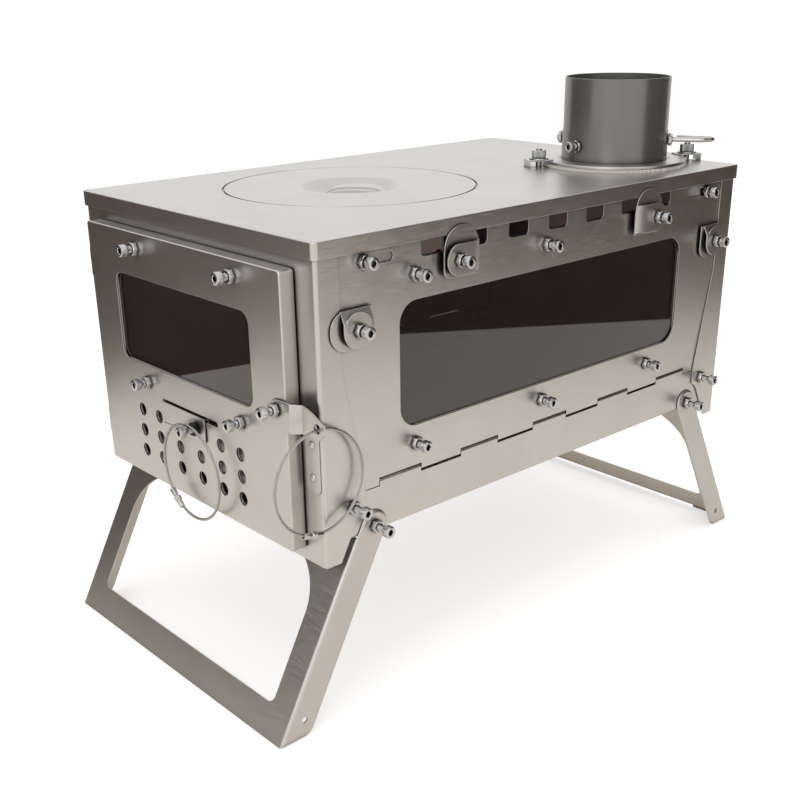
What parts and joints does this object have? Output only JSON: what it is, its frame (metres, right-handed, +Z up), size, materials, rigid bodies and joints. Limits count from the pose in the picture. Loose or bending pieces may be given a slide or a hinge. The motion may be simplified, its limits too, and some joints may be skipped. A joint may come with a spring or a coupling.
{
  "type": "folding tent wood stove",
  "caption": "Folding tent wood stove: sheet-metal fire box on hinged legs, glazed sides and door, air slider, cooking lid and flue collar with damper.",
  "frame": {"origin": "on the ground, midway between the four feet", "axes": "+X to the right when the door is faced, +Y from the door to the rear, +Z up"},
  "size_m": [0.2552, 0.4328, 0.329],
  "materials": {
    "satin_sheet": "satin bare metal",
    "leg_sheet": "satin bare metal",
    "dark_sheet": "satin bare metal, darker",
    "bright_steel": "bright plated",
    "wire": "drawn wire",
    "dark_glass": "heat-proof glass in front of a dark chamber",
    "gasket": "woven fibre",
    "dark_nut": "blackened steel"
  },
  "bodies": {
    "stove": {"body_screws": "bright_steel", "clip_screws": "bright_steel", "fire_grate": "satin_sheet", "floor_pan": "satin_sheet", "flue_collar": "dark_sheet", "flue_dogs": "bright_steel", "flue_flange": "dark_sheet", "flue_gasket": "gasket", "flue_studs": "bright_steel", "flue_thumb_nuts": "bright_steel", "flue_washers": "bright_steel", "front_frame": "satin_sheet", "hinge_leaves_frame": "satin_sheet", "hinge_pins": "bright_steel", "hinge_rods": "wire", "inner_nuts": "bright_steel", "leg_pivot_screws": "bright_steel", "lid_ledge": "satin_sheet", "outer_nuts": "bright_steel", "rear_panel": "satin_sheet", "side_gaskets": "gasket", "side_glass_left": "dark_glass", "side_glass_right": "dark_glass", "side_panel_left": "satin_sheet", "side_panel_right": "satin_sheet", "side_retainer_left": "satin_sheet", "side_retainer_right": "satin_sheet", "strike_bracket": "satin_sheet", "strike_rivets": "bright_steel", "top_lugs": "satin_sheet", "top_plate": "satin_sheet"},
    "door": {"door_shell": "satin_sheet", "door_glass": "dark_glass", "door_gasket": "gasket", "door_retainer": "satin_sheet", "door_screws": "bright_steel", "door_nuts": "bright_steel", "hinge_leaves_door": "satin_sheet", "slider_guides": "satin_sheet"},
    "slider": {"air_slider": "satin_sheet", "knob_screw": "bright_steel", "knob_nut": "dark_nut"},
    "knob_ring": {"knob_ring": "wire"},
    "latch": {"door_latch": "satin_sheet"},
    "latch_ring": {"latch_ring": "wire"},
    "lid": {"lid": "satin_sheet", "lid_strap": "satin_sheet"},
    "damper": {"damper_axle": "wire", "damper_disc": "dark_sheet", "damper_nuts": "bright_steel"},
    "front_leg": {"front_leg": "leg_sheet"},
    "rear_leg": {"rear_leg": "leg_sheet"},
    "corner_clip_front_left": {"corner_clip_front_left": "satin_sheet"},
    "corner_clip_front_right": {"corner_clip_front_right": "satin_sheet"},
    "corner_clip_rear_left": {"corner_clip_rear_left": "satin_sheet"},
    "corner_clip_rear_right": {"corner_clip_rear_right": "satin_sheet"},
    "rim_clip_front_left": {"rim_clip_front_left": "satin_sheet"},
    "rim_clip_front_right": {"rim_clip_front_right": "satin_sheet"},
    "rim_clip_rear_left": {"rim_clip_rear_left": "satin_sheet"},
    "rim_clip_rear_right": {"rim_clip_rear_right": "satin_sheet"}
  },
  "joints": [
    {"name": "door_hinge", "type": "hinge", "parent": "stove", "child": "door", "pos_m": [-0.0995, -0.18455, 0.18], "axis": [0, 0, -1], "range_deg": [0, 165]},
    {"name": "air_slide", "type": "slide", "parent": "door", "child": "slider", "axis": [1, 0, 0], "range_m": [0, 0.01]},
    {"name": "knob_ring_swing", "type": "hinge", "parent": "slider", "child": "knob_ring", "pos_m": [0.01, -0.1958, 0.1535], "axis": [0, 1, 0], "range_deg": [-30, 30]},
    {"name": "latch_lift", "type": "hinge", "parent": "door", "child": "latch", "pos_m": [0.0895, -0.1898, 0.1855], "axis": [0, -1, 0], "range_deg": [0, 30]},
    {"name": "latch_ring_swing", "type": "hinge", "parent": "latch", "child": "latch_ring", "pos_m": [0.117, -0.185, 0.1802], "axis": [1, 0, 0], "range_deg": [-35, 3]},
    {"name": "lid_lift", "type": "slide", "parent": "stove", "child": "lid", "axis": [0, 0, 1], "range_m": [0, 0.06]},
    {"name": "damper_turn", "type": "hinge", "parent": "stove", "child": "damper", "pos_m": [0.05, 0.128, 0.2895], "axis": [0.866, 0.5, 0], "range_deg": [0, 90]},
    {"name": "front_leg_fold", "type": "hinge", "parent": "stove", "child": "front_leg", "pos_m": [0, -0.145, 0.113], "axis": [1, 0, 0], "range_deg": [0, 117]},
    {"name": "rear_leg_fold", "type": "hinge", "parent": "stove", "child": "rear_leg", "pos_m": [0, 0.145, 0.113], "axis": [-1, 0, 0], "range_deg": [0, 117]},
    {"name": "corner_clip_front_left_turn", "type": "hinge", "parent": "stove", "child": "corner_clip_front_left", "pos_m": [-0.1128, -0.156, 0.226], "axis": [1, 0, 0], "range_deg": [0, 90]},
    {"name": "corner_clip_front_right_turn", "type": "hinge", "parent": "stove", "child": "corner_clip_front_right", "pos_m": [0.1128, -0.156, 0.226], "axis": [1, 0, 0], "range_deg": [0, 90]},
    {"name": "corner_clip_rear_left_turn", "type": "hinge", "parent": "stove", "child": "corner_clip_rear_left", "pos_m": [-0.1128, 0.156, 0.226], "axis": [-1, 0, 0], "range_deg": [0, 90]},
    {"name": "corner_clip_rear_right_turn", "type": "hinge", "parent": "stove", "child": "corner_clip_rear_right", "pos_m": [0.1128, 0.156, 0.226], "axis": [-1, 0, 0], "range_deg": [0, 90]},
    {"name": "rim_clip_front_left_turn", "type": "hinge", "parent": "stove", "child": "rim_clip_front_left", "pos_m": [-0.1143, -0.087, 0.251], "axis": [1, 0, 0], "range_deg": [0, 90]},
    {"name": "rim_clip_front_right_turn", "type": "hinge", "parent": "stove", "child": "rim_clip_front_right", "pos_m": [0.1143, -0.087, 0.251], "axis": [1, 0, 0], "range_deg": [0, 90]},
    {"name": "rim_clip_rear_left_turn", "type": "hinge", "parent": "stove", "child": "rim_clip_rear_left", "pos_m": [-0.1143, 0.087, 0.251], "axis": [-1, 0, 0], "range_deg": [0, 90]},
    {"name": "rim_clip_rear_right_turn", "type": "hinge", "parent": "stove", "child": "rim_clip_rear_right", "pos_m": [0.1143, 0.087, 0.251], "axis": [-1, 0, 0], "range_deg": [0, 90]}
  ]
}
